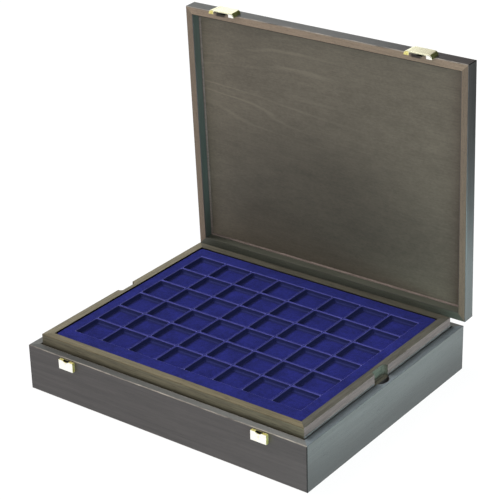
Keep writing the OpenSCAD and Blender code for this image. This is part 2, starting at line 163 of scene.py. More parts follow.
class Finish:
    """The nodes of a piece's finish, or of the air round the case, as they are put together."""

    def __init__(self, owner):
        owner.use_nodes = True
        self.nodes, self.links = owner.node_tree.nodes, owner.node_tree.links
        self.shader = self.nodes.get("Principled BSDF") or self.nodes["Background"]

    def feed(self, socket, value):
        if isinstance(value, Value):
            self.links.new(value.socket, socket)
        else:
            socket.default_value = value

    def node(self, kind, settings=None, inputs=None, output=0):
        made = self.nodes.new(kind)
        for key, value in (settings or {}).items():
            setattr(made, key, value)
        for key, value in (inputs or {}).items():
            self.feed(made.inputs[key], value)
        return Value(self, made.outputs[output])

    def place(self, grain="x"):
        """The piece's own coordinates in millimetres, turned so that the grain runs along X."""
        here = self.node("ShaderNodeTexCoord", output="Object")
        return self.node("ShaderNodeMapping", {}, {"Vector": here, "Rotation": GRAIN_TURN[grain],
                                                   "Scale": (1 / MM,) * 3})

    def noise(self, place, pitch, detail, roughness=0.5):
        """Noise whose features have the pitch given for each axis, in millimetres."""
        scaled = self.node("ShaderNodeVectorMath", {"operation": "DIVIDE"}, {0: place, 1: pitch})
        return self.node("ShaderNodeTexNoise", {}, {"Vector": scaled, "Scale": 1.0, "Detail": detail,
                                                    "Roughness": roughness})

    def strands(self, grain):
        """A maker of noise drawn out along the grain, by its length and width in millimetres."""
        place = self.place(grain)
        return lambda length, width, *texture: self.noise(place, (length, width, width), *texture)

    def clouds(self, size, *texture):
        """Noise with features of one size every way, in millimetres."""
        return self.noise(self.place(), (size,) * 3, *texture)

    def axes(self):
        """The piece's own x, y and z in millimetres."""
        here = self.place()
        return [self.node("ShaderNodeSeparateXYZ", {}, {0: here}, output=axis) for axis in range(3)]

    def scaled(self, colour, factor):
        """A colour times a factor that varies over the piece."""
        return self.node("ShaderNodeVectorMath", {"operation": "SCALE"}, {0: colour, "Scale": factor})

    def blend(self, share, first, second):
        """The second colour over the first, by a share."""
        sides = [c if isinstance(c, Value) else (*c, 1.0) for c in (first, second)]
        return self.node("ShaderNodeMix", {"data_type": "RGBA"}, {0: share, 6: sides[0], 7: sides[1]},
                         output=2)

    def toned(self, share, colour, dark, pale):
        """From a dark to a pale tone of the colour, by a share; a tone is a number or a tint."""
        return self.blend(share, times(colour, dark), times(colour, pale))

    def relief(self, height, depth, strength):
        """Feeds the shader's normal with a relief of that depth in millimetres."""
        bump = self.node("ShaderNodeBump", {}, {"Strength": strength, "Distance": depth * MM,
                                                "Height": height})
        self.feed(self.shader.inputs["Normal"], bump)

    def set(self, **sockets):
        for name, value in sockets.items():
            socket = self.shader.inputs[name.replace("_", " ").title().replace("Ior", "IOR")]
            if not isinstance(value, Value) and socket.type == "RGBA":
                value = (*value, 1.0)
            self.feed(socket, value)


# How pale each rim is painted at its left and right end: painted light and shade, paler on rims that catch
# more light, darker on rims in shade, and on the base's front rim darker towards the left.
RIM_PAINTED_LIGHT = {
    "base_front": (0.46, 0.96), "base_right": (1.0, 1.0), "base_back": (0.8, 0.8), "base_left": (0.8, 0.8),
    "lid_front": (1.42, 1.42), "lid_right": (0.86, 0.86), "lid_back": (1.0, 1.0), "lid_left": (1.0, 1.0),
}
# Tints of the tray stain on each rail, for its faces, top and scoop: painted light and shade, paler or darker
# as the light falls on each part.
TRAY_LIGHT_TINTS = {
    "front": {"face": (0.78, 0.78, 0.77), "top": (0.79, 0.76, 0.7)},
    "right": {"face": (0.76, 0.56, 0.78), "top": (0.49, 0.53, 0.65), "scoop": (0.42, 0.44, 0.5)},
    "back": {"face": (0.7, 0.7, 0.7), "top": (0.48, 0.5, 0.56)},
    "left": {"face": (0.8, 0.8, 0.8), "top": (0.95, 0.95, 0.95), "scoop": (0.7, 0.7, 0.7)},
}
# Tints of the brass in the hollows and on the crests of its clouds, with its metal and roughness: a deeper
# yellow that paints brass reflected in brass, and a dark olive that paints shade.
BRASS_TONES = {
    "edge": ((0.62, 0.56, 0.2), (0.95, 0.9, 0.5), 0.7, 0.25),
    "tarnish": ((0.09, 0.1, 0.035), (0.19, 0.2, 0.09), 0.5, 0.4),
}
GRAIN_TURN = {"x": (0, 0, 0), "y": (0, 0, radians(-90)), "z": (0, radians(90), 0)}
# The painted shadow under each catch on the lid's rim: how far it lies left of the catch and in from the
# edge, and the half width and half height over which it fades, in millimetres.
CATCH_SHADOW_LEFT, CATCH_SHADOW_IN = 6, 2
CATCH_SHADOW_WIDTH, CATCH_SHADOW_HEIGHT = (3.5, 7), (1, 2.6)
# Middle of the painted shade on the lid's panel, and its half width and half height, in millimetres.
PANEL_SHADE_X, PANEL_SHADE_Z = -15, 115
PANEL_SHADE_WIDTH, PANEL_SHADE_HEIGHT = 130, 110
SHEEN_BLUE, SHEEN_SHADE = (0.18, 0.2, 0.6), (0.18, 0.2, 0.5)
# Slots of the finishes of a board or a rail; the dark slot holds the dark corner joints and painted shade on
# inner edges and the rails' inner faces, and the last holds a board's inner face or a rail's scoop.
FACE, ARRIS, TOP, DARK, INSIDE = range(5)


def kept(make):
    """Makes a finish once and hands out the same one after that."""

    def finish(*choice):
        name = "_".join((make.__name__, *(c for c in choice if isinstance(c, str))))
        if name not in bpy.data.materials:
            make(Finish(bpy.data.materials.new(name)), *choice)
        return bpy.data.materials[name]

    return finish


def lighter(colour, share):
    """The colour moved towards white by a share."""
    return tuple(c + (1 - c) * share for c in colour)


def times(colour, factor):
    """The colour times a number or a tint."""
    tint = factor if isinstance(factor, tuple) else (factor,) * 3
    return tuple(c * t for c, t in zip(colour, tint))


@kept
def case_board(finish, grain, colours):
    """Dark stain on close-grained wood, with fine fibres and short pores along the grain; the side boards
    painted lighter towards the top, a painted light.
    """
    strands = finish.strands(grain)
    drift, fibre, streak = strands(260, 34, 2), strands(32, 0.9, 6, 0.68), strands(70, 2.4, 3, 0.6)
    pores = strands(9, 0.45, 2).step(0.60, 0.70)
    streaky = 0.3 if grain == "y" else 0.6
    tone = (0.35 * drift + 0.5 * fibre + streaky * streak - 0.2).step(0.2, 0.8)
    stain = finish.toned(tone, colours.case_stain, 0.55, 1.5)
    stain = finish.blend(0.55 * pores, stain, times(colours.case_stain, 0.42))
    # Painted light: the side boards grow lighter towards the top.
    if grain == "y":
        stain = finish.scaled(stain, 0.8 + 0.9 * finish.axes()[2].step(5, RIM / MM))
    finish.set(base_color=stain, roughness=0.34 + 0.14 * fibre + 0.12 * pores, specular_ior_level=0.58)
    finish.relief(fibre - 0.8 * pores, 0.08, 0.4)


@kept
def case_arris(finish, grain, colours):
    """Edges of the boards, where the stain is rubbed thin, painted pale as a highlight on the light these
    edges catch.
    """
    strands = finish.strands(grain)
    rubbed, fibre = strands(14, 3, 4, 0.6), strands(20, 0.6, 3, 0.6)
    tone = (0.7 * rubbed + 0.5 * fibre).step(0.35, 0.85)
    finish.set(base_color=finish.blend(tone, times(colours.case_stain, 1.05), colours.rubbed_edge),
               roughness=0.38 + 0.2 * fibre, specular_ior_level=0.5)
    finish.relief(fibre, 0.05, 0.4)


@kept
def case_rim(finish, grain, board, colours):
    """Rims of the base and the lid: planed after staining, so paler than the faces, with painted light and
    shade: each rim paler or darker as its light falls, a painted shadow line along the lid's inner edge and a
    painted shadow under each catch.
    """
    strands = finish.strands(grain)
    x, _, z = finish.axes()
    stain = colours.base_rim if board.startswith("base") else colours.lid_rim
    # Painted shade: the base's right rim and the lid's back rim take darker colours of their own.
    stain = {"lid_back": colours.lid_foot, "base_right": colours.side_rim}.get(board, stain)
    drift, fibre, speckle = strands(160, 20, 2), strands(18, 0.8, 5, 0.7), strands(1.6, 1.1, 2, 0.6)
    pores = strands(5, 0.5, 2).step(0.58, 0.68)
    tone = (0.3 * drift + 0.7 * fibre + 0.4 * speckle - 0.2).step(0.12, 0.88)
    wear_and_light = finish.blend(0.5 * pores, finish.toned(tone, stain, 0.66, 1.34), times(stain, 0.45))
    left, right = RIM_PAINTED_LIGHT[board]
    # Painted light and shade: each rim scaled paler or darker from its left end to its right end.
    wear_and_light = finish.scaled(wear_and_light, left + (right - left) * x.step(-120, 130))
    if board == "lid_front":
        # Painted shadow: a dark line along the rim's inner edge, where the panel lies in shade under the
        # front board.
        shadow_line = 1 - (z - LID_INNER_EDGE / MM).step(0.1, 0.9)
        wear_and_light = finish.blend(0.95 * shadow_line, wear_and_light, times(colours.case_stain, 0.15))
        # Painted shadow: a dark patch on the rim under each catch, where the hood shades it.
        catch_shadow_z = (OPEN_LID @ LID_BOX[0]).z / MM - CATCH_SHADOW_IN
        for clasp_x in CLASP_X.values():
            across = 1 - abs(x - (clasp_x / MM - CATCH_SHADOW_LEFT)).step(*CATCH_SHADOW_WIDTH)
            catch_shadow = across * (1 - abs(z - catch_shadow_z).step(*CATCH_SHADOW_HEIGHT))
            wear_and_light = finish.blend(0.9 * catch_shadow, wear_and_light, times(colours.case_stain, 0.12))
    finish.set(base_color=wear_and_light, roughness=0.5 + 0.15 * fibre, specular_ior_level=0.4)
    finish.relief(fibre - 0.8 * pores, 0.10, 0.5)


@kept
def lid_lining(finish, grain, board, colours):
    """Inner faces of the lid's boards, with a thinner stain, whose cool green-grey tone paints the cool light
    from the right; the back board in a darker colour of its own, a painted shade.
    """
    strands = finish.strands(grain)
    stain = colours.lid_foot if board == "lid_back" else colours.lid_inside
    fibre, drift = strands(30, 1, 5, 0.65), strands(60, 8, 2)
    tone = (0.7 * fibre + 0.5 * drift - 0.1).step(0.15, 0.85)
    finish.set(base_color=finish.toned(tone, stain, 0.7, 1.3), roughness=0.45 + 0.2 * fibre,
               specular_ior_level=0.4)
    finish.relief(fibre, 0.08, 0.4)


@kept
def stained_edge(finish, grain, colours):
    """Dark finish: the corner joints, and painted shade on the lid's inner edge and on the tray rails' inner
    faces.
    """
    fibre = finish.strands(grain)(14, 1, 4, 0.6)
    finish.set(base_color=finish.toned(fibre, colours.case_stain, 0.1, 0.4), roughness=0.6 + 0.2 * fibre,
               specular_ior_level=0.2)
    finish.relief(fibre, 0.05, 0.4)


@kept
def bead_wood(finish, grain, colours):
    """The thin bead round the lid's panel, in bare tan wood."""
    fibre = finish.noise(finish.place(grain), (14, 14, 2), 4, 0.6)
    finish.set(base_color=finish.toned(fibre.step(0.25, 0.75), colours.bead_tan, 0.75, 1.25),
               roughness=0.5 + 0.2 * fibre, specular_ior_level=0.4)
    finish.relief(fibre, 0.05, 0.4)


def case_finishes(grain, board, colours):
    """Faces, arrises, rim, dark edges and inner faces of a case board."""
    # Painted highlight: only the front boards' arrises take the pale finish; the other arrises keep the
    # face's finish.
    arris = case_arris if board.endswith("front") else case_board
    return (case_board(grain, colours), arris(grain, colours), case_rim(grain, board, colours),
            stained_edge(grain, colours), lid_lining(grain, board, colours))


def tray_finishes(side, colours):
    """Outer faces, arrises, top and inner faces of a tray rail, and the scoop of a side rail; the inner faces
    are dark, a painted shade.
    """
    parts = (tray_board(side, "face", colours), tray_arris(side, colours), tray_board(side, "top", colours),
             stained_edge(grain_along(side), colours))
    return (*parts, tray_board(side, "scoop", colours)) if side in HANDS else parts


@kept
def tray_board(finish, side, part, colours):
    """Stained tray rails: a warmer brown with coarser fibres, with painted light and shade on each rail and
    part: the front faces darker towards their foot, the right faces paler at their foot and the scoops paler
    low down.
    """
    strands = finish.strands(grain_along(side))
    stain = times(colours.tray_stain, TRAY_LIGHT_TINTS[side][part])
    drift, fibre, streak = strands(180, 16, 2), strands(40, 1.1, 6, 0.7), strands(42, 2.4, 3, 0.65)
    pores = strands(12, 0.5, 2).step(0.58, 0.68)
    tone = (0.3 * drift + 0.5 * fibre + 0.65 * streak - 0.22).step(0.2, 0.8)
    grain_and_light = finish.blend(0.6 * pores, finish.toned(tone, stain, 0.6, 1.4), times(stain, 0.38))
    height = (finish.axes()[2] - TRAY_BOX[0].z / MM) % (TRAY_STEPS[1].z / MM)
    # Painted shade: the front face darkens towards its foot.
    if (side, part) == ("front", "face"):
        grain_and_light = finish.scaled(grain_and_light, 0.5 + 0.55 * height.step(6.5, 12))
    # Painted light: the right face pales towards its foot.
    elif (side, part) == ("right", "face"):
        grain_and_light = finish.blend(1 - height.step(6.8, 9.0), grain_and_light, colours.rail_foot)
    # Painted light: the scoop pales low down, on its ledge.
    elif part == "scoop":
        grain_and_light = finish.scaled(grain_and_light, 1 + 2.5 * (1 - height.step(5.2, 7.5)))
    finish.set(base_color=grain_and_light, roughness=0.5 + 0.18 * fibre + 0.1 * pores,
               specular_ior_level=0.12 if side == "right" else 0.35)
    finish.relief(fibre - 0.8 * pores, 0.12, 0.5)


@kept
def tray_arris(finish, side, colours):
    """Edges of the tray rails, in the painted light and shade of each rail's top."""
    strands = finish.strands(grain_along(side))
    rubbed, fibre = strands(12, 3, 4, 0.6), strands(20, 0.6, 3, 0.6)
    tone = (0.7 * rubbed + 0.5 * fibre).step(0.35, 0.85)
    stain = times(colours.tray_stain, TRAY_LIGHT_TINTS[side]["top"])
    finish.set(base_color=finish.toned(tone, stain, 0.65, 1.2), roughness=0.65 + 0.2 * fibre,
               specular_ior_level=0.12)
    finish.relief(fibre, 0.05, 0.4)


@kept
def panel_veneer(finish, colours):
    """Stained veneer with faint flame lines, painted darker round its middle and lighter towards its top,
    left edge and foot, as painted light and shade; dark stain on the lid's outside.
    """
    place = finish.place()

    def figure(length, width, *texture):
        """Noise drawn out along the panel and through its thickness."""
        return finish.noise(place, (length, length, width), *texture)

    rings = abs((13 * figure(420, 70, 1, 0.3) + 0.5 * figure(70, 10, 3, 0.5)) % 1.0 - 0.5)
    fade = figure(110, 40, 2).step(0.38, 0.62)
    fibre, pores = figure(26, 0.8, 5, 0.65), figure(7, 0.4, 2).step(0.60, 0.69)
    cloud, speckle = figure(18, 9, 3, 0.6), figure(3.5, 1.8, 2, 0.6)
    x, y, z = finish.axes()
    left = -1 * x
    tone = 0.45 * fibre + 0.12 * rings + 0.1 * fade + 0.35 * cloud + 0.45 * speckle - 0.2
    tone = tone.step(0.14, 0.9)
    stain = finish.toned(tone, colours.veneer_stain, 0.72, 1.28)
    flame = (1 - rings.step(0.0, 0.16)) * fade * (0.08 + 0.4 * left.step(-50, 60) * z.step(150, 230))
    figured = finish.blend(flame, stain, times(colours.veneer_stain, 1.7))
    figured = finish.blend(0.35 * pores, figured, times(colours.veneer_stain, 0.5))
    # Painted light and shade: darker round the panel's middle, lighter towards its top, its left edge and its
    # foot.
    across, up = (x - PANEL_SHADE_X) * (1 / PANEL_SHADE_WIDTH), (z - PANEL_SHADE_Z) * (1 / PANEL_SHADE_HEIGHT)
    panel_light = 0.57 + 0.25 * (across * across + up * up).step(0.0, 1.6) + 0.17 * z.step(110, 300)
    panel_light = panel_light + 0.18 * left.step(100, 150) + 0.06 * (120 - z).step(0, 60)
    out = OPEN_LID.to_3x3() @ UP
    depth = out.y * y + out.z * z - out.dot(OPEN_LID @ LID_PANEL[0]) / MM
    outside = finish.toned(tone, colours.case_stain, 0.7, 1.4)
    finish.set(base_color=finish.blend(depth.step(1.5, 2.5), finish.scaled(figured, panel_light), outside),
               roughness=0.48 + 0.2 * fibre, specular_ior_level=0.3)
    finish.relief(fibre - pores, 0.06, 0.4)


def upright_fibres(finish):
    """The flock's short fibres, seen end on."""
    return finish.clouds(0.45, 3, 0.7)


def mottled(finish, pile, colours):
    """The flock's blue with a fine mottle."""
    brushed, patch = finish.clouds(3.2, 3, 0.7), finish.clouds(16, 2, 0.5)
    tone = (0.35 * pile + 0.7 * brushed + 0.45 * patch - 0.25).step(0.2, 0.8)
    return finish.toned(tone, colours.flock_blue, 0.55, 1.5)


def lay_flock(finish, pile, colour, sheen, tint):
    """Matt fibres of a colour, with a soft sheen."""
    finish.set(base_color=colour, roughness=0.9 + 0.1 * pile, specular_ior_level=0.1,
               sheen_weight=sheen, sheen_roughness=0.5, sheen_tint=tint)
    finish.relief(pile, 0.25, 0.8)


@kept
def blue_flock(finish, colours):
    """Flock on the ridges and the border of an insert."""
    pile = upright_fibres(finish)
    lay_flock(finish, pile, mottled(finish, pile, colours), 0.3, SHEEN_BLUE)


@kept
def pocket_flock(finish, colours, sizes, columns, rows):
    """Flock on the pockets' floors, with painted shadow along the walls, most of all the left and back ones.
    """
    pile = upright_fibres(finish)
    x, y, _ = finish.axes()
    pitch, ridge = (sizes.pocket + sizes.ridge) / MM, sizes.ridge / MM
    across, back = (x + columns * pitch / 2) % pitch, (y + rows * pitch / 2) % pitch
    # Painted shadow: the floor darkens near each wall.
    lit = 1.0
    for gap, reach, depth in ((across - ridge / 2, 6.5, 0.95), (pitch - ridge / 2 - back, 6.5, 0.95),
                              (pitch - ridge / 2 - across, 3.5, 0.4), (back - ridge / 2, 3.5, 0.4)):
        lit = lit * (1 - depth * (1 - gap.step(1.0, reach)))
    shade = times(colours.flock_blue, (0.5, 0.5, 0.3))
    lay_flock(finish, pile, finish.blend(1 - lit, mottled(finish, pile, colours), shade), 0.3, SHEEN_BLUE)


@kept
def rubbed_flock(finish, colours):
    """Flock on the rounded edges of the pockets, where the fibres lie open, painted paler as a highlight on
    these edges.
    """
    pile = upright_fibres(finish)
    tone = (0.6 * pile + 0.6 * finish.clouds(9, 2, 0.6) - 0.1).step(0.2, 0.8)
    wear_and_light = finish.toned(tone, colours.flock_edge, 0.7, 1.3)
    lay_flock(finish, pile, wear_and_light, 0.35, lighter(colours.flock_edge, 0.4))


@kept
def shaded_flock(finish, colours):
    """Flock on the pockets' walls, painted a darker, greyer blue as the shade on them."""
    pile = upright_fibres(finish)
    shade = finish.toned(pile.step(0.2, 0.8), colours.flock_blue, (1.6, 1.6, 0.7), (2.4, 2.4, 1.2))
    lay_flock(finish, pile, shade, 0.25, SHEEN_SHADE)


@kept
def brass_sheet(finish, colours):
    """Polished brass with a few tarnished clouds and fine rubbing marks."""
    cloud, rubs = finish.clouds(5, 4, 0.6), finish.strands("x")(2.5, 0.25, 3, 0.6)
    tarnish = cloud.step(0.5, 0.8)
    finish.set(base_color=finish.toned(0.6 * tarnish, colours.brass, 1, 0.62),
               metallic=0.6, roughness=0.18 + 0.14 * rubs + 0.16 * tarnish)
    finish.relief(0.5 * rubs + cloud, 0.03, 0.25)


@kept
def brass_bright(finish, colours):
    """Brass painted almost white on the keepers' plates and the levers' right legs, a painted highlight for
    the bright reflection they show.
    """
    cloud = finish.clouds(4, 4, 0.6)
    finish.set(base_color=finish.blend(cloud.step(0.55, 0.8), lighter(colours.brass, 0.8), colours.brass),
               metallic=1.0, roughness=0.2 + 0.15 * cloud)
    finish.relief(cloud, 0.03, 0.25)


@kept
def brass(finish, kind, colours):
    """Brass painted a deeper yellow on folds, rounded edges, screw heads and the levers' left legs, a painted
    reflection of brass in brass; in its other kind, painted dark olive on the levers' right flanks and ribs,
    a painted shade.
    """
    cloud = finish.clouds(2, 4, 0.6)
    hollow, crest, metal, dull = BRASS_TONES[kind]
    finish.set(base_color=finish.toned(cloud.step(0.3, 0.7), colours.brass, hollow, crest),
               metallic=metal, roughness=dull + 0.15 * cloud)
    finish.relief(cloud, 0.03, 0.25)


@kept
def brass_shade(finish, colours):
    """Brass painted almost black inside the keepers and the levers, and in the screws' slots, as painted
    shade in these hollows.
    """
    cloud = finish.clouds(3, 3, 0.6)
    finish.set(base_color=finish.toned(cloud, colours.brass, 0.015, 0.05),
               roughness=0.7 + 0.2 * cloud, specular_ior_level=0.2)
    finish.relief(cloud, 0.05, 0.5)


@kept
def studio_floor(finish, colours):
    """A pale, matt floor that glows a little, so that it stays white round the case."""
    finish.set(base_color=finish.toned(finish.clouds(40, 2), colours.floor_white, 0.97, 1),
               roughness=0.9, specular_ior_level=0.0, emission_color=(1, 1, 1), emission_strength=0.95)


@kept
def dark_card(finish, colours):
    """Black card with a faint grain."""
    finish.set(base_color=finish.blend(finish.clouds(20, 2), (0.01,) * 3, (0.02,) * 3),
               roughness=1.0, specular_ior_level=0.0)


# Modelling

def take_up(piece):
    """Selects one piece alone and makes it the active one."""
    bpy.ops.object.select_all(action="DESELECT")
    piece.select_set(True)
    bpy.context.view_layer.objects.active = piece


def settle(piece, name):
    """Puts the piece's place into its mesh and names it."""
    take_up(piece)
    bpy.ops.object.transform_apply(location=True, rotation=True, scale=True)
    piece.name = piece.data.name = name
    return piece


def add_block(name, low, high):
    low, high = Vector(low), Vector(high)
    bpy.ops.mesh.primitive_cube_add(size=1, location=(low + high) / 2, scale=high - low)
    return settle(bpy.context.object, name)


def add_rod(name, start, end, radius, tip_radius=None, sides=48):
    """A round rod or cone between two points."""
    start, end = Vector(start), Vector(end)
    bpy.ops.mesh.primitive_cone_add(
        vertices=sides, radius1=radius, radius2=radius if tip_radius is None else tip_radius,
        depth=(end - start).length, location=(start + end) / 2,
        rotation=UP.rotation_difference(end - start).to_euler())
    return settle(bpy.context.object, name)


@contextmanager
def editing(piece):
    take_up(piece)
    bpy.ops.object.mode_set(mode="EDIT")
    bpy.ops.mesh.select_all(action="SELECT")
    yield
    bpy.ops.object.mode_set(mode="OBJECT")


def pick(kind, test):
    """In edit mode, selects only the faces, edges or points that pass the test."""
    bpy.ops.mesh.select_mode(type=kind)
    bpy.ops.mesh.select_all(action="DESELECT")
    mesh = bmesh.from_edit_mesh(bpy.context.object.data)
    parts = {"FACE": mesh.faces, "EDGE": mesh.edges, "VERT": mesh.verts}[kind]
    found = [part for part in parts if test(part)]
    if not found:
        raise RuntimeError(f"nothing to pick on {bpy.context.object.name}")
    for part in found:
        part.select_set(True)
    mesh.select_flush_mode()
    bmesh.update_edit_mesh(bpy.context.object.data)


def middle(part):
    """Middle of a face or an edge."""
    return sum((v.co for v in part.verts), Vector()) / len(part.verts)


def along(edge):
    return (edge.verts[1].co - edge.verts[0].co).normalized()


def upright(edge):
    return abs(along(edge).z) > 0.9


def sharp(edge, angle):
    """Whether two faces meet in the edge at more than an angle, in degrees."""
    return len(edge.link_faces) == 2 and edge.calc_face_angle() > radians(angle)


def faces(face, way, least=0.99):
    """Whether a face looks that way."""
    return face.normal.dot(way) > least


def round_over(test, width, segments, **settings):
    """In edit mode, rounds the edges that pass the test."""
    pick("EDGE", test)
    bpy.ops.mesh.bevel(offset=width, segments=segments, affect="EDGES", **settings)


def look_outward():
    """In edit mode, turns all faces outwards."""
    bpy.ops.mesh.select_all(action="SELECT")
    bpy.ops.mesh.normals_make_consistent(inside=False)


def finish_with(piece, kind, **settings):
    """Adds a modifier to the piece and applies it."""
    take_up(piece)
    change = piece.modifiers.new(kind.title(), kind)
    for key, value in settings.items():
        setattr(change, key, value)
    bpy.ops.object.modifier_apply(modifier=change.name)


def scrap(piece):
    mesh = piece.data
    bpy.data.objects.remove(piece)
    bpy.data.meshes.remove(mesh)


def cut(piece, *cutters):
    """Cuts the cutters out of the piece."""
    for cutter in cutters:
        finish_with(piece, "BOOLEAN", operation="DIFFERENCE", solver="EXACT", object=cutter)
        scrap(cutter)


def join(piece, *others):
    """Joins other pieces into the piece."""
    take_up(piece)
    for other in others:
        other.select_set(True)
    bpy.ops.object.join()
    return piece


def ease_edges(piece, width, segments):
    """Rounds all sharp edges of the piece, in its first finish."""
    finish_with(piece, "BEVEL", width=width, segments=segments, limit_method="ANGLE", angle_limit=radians(35),
                material=0)


def smooth(piece, angle=40):
    """Smooth shading on the rounded edges, while the flat faces stay flat."""
    take_up(piece)
    bpy.ops.object.shade_smooth_by_angle(angle=radians(angle))
    finish_with(piece, "WEIGHTED_NORMAL", weight=100, keep_sharp=True)


def copied(piece, name, move):
    """A copy of the piece with a mesh of its own, moved by a matrix."""
    twin = piece.copy()
    twin.data = piece.data.copy()
    twin.name = twin.data.name = name
    bpy.context.scene.collection.objects.link(twin)
    twin.data.transform(move)
    return twin


def mirrored(piece, name):
    """A copy of the piece on the other side of the case's middle."""
    twin = copied(piece, name, Matrix.Scale(-1, 4, (1, 0, 0)))
    twin.data.flip_normals()
    return twin


def fit(piece, body, slot, *nodes):
    """The piece stands for CAD nodes and moves with a body; its slot is not used."""
    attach(piece, body)
    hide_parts(*nodes)


def give(piece, *finishes):
    """Puts the finishes into the piece's slots, in order."""
    slots = piece.data.materials
    for i, finish in enumerate(finishes):
        if i < len(slots):
            slots[i] = finish
        else:
            slots.append(finish)


def put_on(piece, slot, test):
    """The faces that pass the test take the finish in a slot of the piece."""
    with editing(piece):
        pick("FACE", test)
        piece.active_material_index = slot
        bpy.ops.object.material_slot_assign()


def add_frame(name, box, wall):
    """Four walls round an open middle, as one ring."""
    ring = add_block(name, *box)
    with editing(ring):
        pick("FACE", lambda f: abs(f.normal.z) > 0.9)
        bpy.ops.mesh.inset(thickness=wall, use_individual=True)
        bpy.ops.mesh.bridge_edge_loops()
        look_outward()
    return ring


def mitred(ring, box, side, name, ease, corner=0):
    """One board of the ring, cut off at the mitres of its two corners, with its other edges rounded.

    A corner width opens a fine dark groove along the outside of the mitres."""
    board = copied(ring, name, Matrix())
    out = FRAME_SIDES[side]
    across = UP.cross(out)
    centre, half = (box[0] + box[1]) / 2, (box[1] - box[0]) / 2
    depth, width = (abs(half.dot(way)) for way in (out, across))
    spare, joint = 10 * MM, 0.01 * MM
    tip = centre + out * (depth - width + joint)
    side_way, up_way = across * (width + spare), UP * (half.z + spare)
    wedge = add_block("wedge", *whole_box([(tip - side_way - up_way,) * 2,
                                           (centre + out * (depth + spare) + side_way + up_way,) * 2]))
    with editing(wedge):
        pick("VERT", lambda v: abs((v.co - tip).dot(out)) < spare / 10)
        bpy.ops.transform.resize(value=[0 if way else 1 for way in across], center_override=tip)
        bpy.ops.mesh.remove_doubles(threshold=spare / 100)
    finish_with(board, "BOOLEAN", operation="INTERSECT", solver="EXACT", object=wedge)
    scrap(wedge)

    def on_mitre(edge):
        """Whether both ends of the edge lie on the same mitre."""
        ways = [(v.co - tip).dot(across) for v in edge.verts]
        depths = [(v.co - tip).dot(out) for v in edge.verts]
        return ways[0] * ways[1] > 0 and all(abs(abs(w) - d) < joint for w, d in zip(ways, depths))

    with editing(board):
        round_over(lambda e: sharp(e, 35) and not on_mitre(e), ease, 3, clamp_overlap=True, material=ARRIS)
        if corner:
            round_over(lambda e: upright(e) and on_mitre(e) and (middle(e) - centre).dot(out) > depth - joint,
                       corner, 1, material=DARK)
    return board


def grain_along(side, of_side_boards="y"):
    """The grain of a board runs along it."""
    return "x" if side in ("front", "back") else of_side_boards


def in_each_tray(piece, ending):
    """Each tray's name with its piece: the bottom tray's own, and copies of it in the trays above."""
    for tray, step in zip(TRAYS, TRAY_STEPS):
        yield tray, copied(piece, f"{tray}_{ending}", Matrix.Translation(step)) if step.length else piece


# Pieces

def length(name, description, default):
    """A size, given in millimetres."""
    return bpy.props.FloatProperty(name=name, description=description, default=default * MM, min=0,
                                   subtype="DISTANCE", unit="LENGTH")


def colour(name, description, default):
    return bpy.props.FloatVectorProperty(name=name, description=description, default=default, size=3,
                                         min=0, max=1, subtype="COLOR")


class CoinCaseSizes(bpy.types.PropertyGroup):
    """Sizes that the solids leave to the looks."""
    board_ease: length("Board edge", "Rounding of the case boards' edges", 0.7)
    foot_ease: length("Lid foot edge", "Rounding of the lid's back board, which meets the base", 0.25)
    corner_groove: length("Corner groove", "Width of the groove along the case's mitred corners", 0.7)
    rail_ease: length("Rail edge", "Rounding of the tray rails' edges", 0.6)
    wall_scoop_r: length("Wall scoop", "Radius of the upright scoop in a base side wall", 10.5)
    wall_scoop_d: length("Wall scoop depth", "Depth of the upright scoop into the wall", 5.2)
    wall_scoop_z: length("Wall scoop foot", "Height of the wood below the upright scoop", 12)
    rail_scoop_w: length("Rail scoop", "Width of the scoop in a tray's side rail", 22)
    rail_scoop_d: length("Rail scoop depth", "Depth of the scoop into the rail", 4.5)
    rail_scoop_z: length("Rail ledge", "Height of the ledge under the rail's scoop", 5)
    pocket: length("Pocket", "Width of a coin pocket at its mouth", 30.8)
    ridge: length("Ridge", "Width of the ridge between two pockets", 2)
    pocket_depth: length("Pocket depth", "Depth of a coin pocket", 4.4)
    pocket_draft: length("Pocket draft", "How much a pocket narrows on each side to its floor", 0.4)
    pocket_corner: length("Pocket corner", "Radius of a pocket's upright corners", 1.8)
    pocket_ease: length("Pocket floor edge", "Rounding round a pocket's floor", 1.5)
    mouth_ease: length("Pocket mouth edge", "Rounding round a pocket's mouth", 0.8)
    bead: length("Bead", "Width of the bead round the lid's panel", 1.5)
    insert_corner: length("Insert corner", "Radius of the insert's outer corners", 4)
    insert_ease: length("Insert edge", "Rounding of the insert's top edge", 1.1)
    sheet: length("Flocked sheet", "Thickness of the formed sheet", 0.9)
    keeper_out: length("Keeper", "How far a keeper stands out from the wall", 3.3)
    brass_gauge: length("Brass", "Thickness of the keepers' and levers' brass", 0.8)
    screw_shank: length("Screw shank", "Radius of a hinge screw below its head", 1.0)


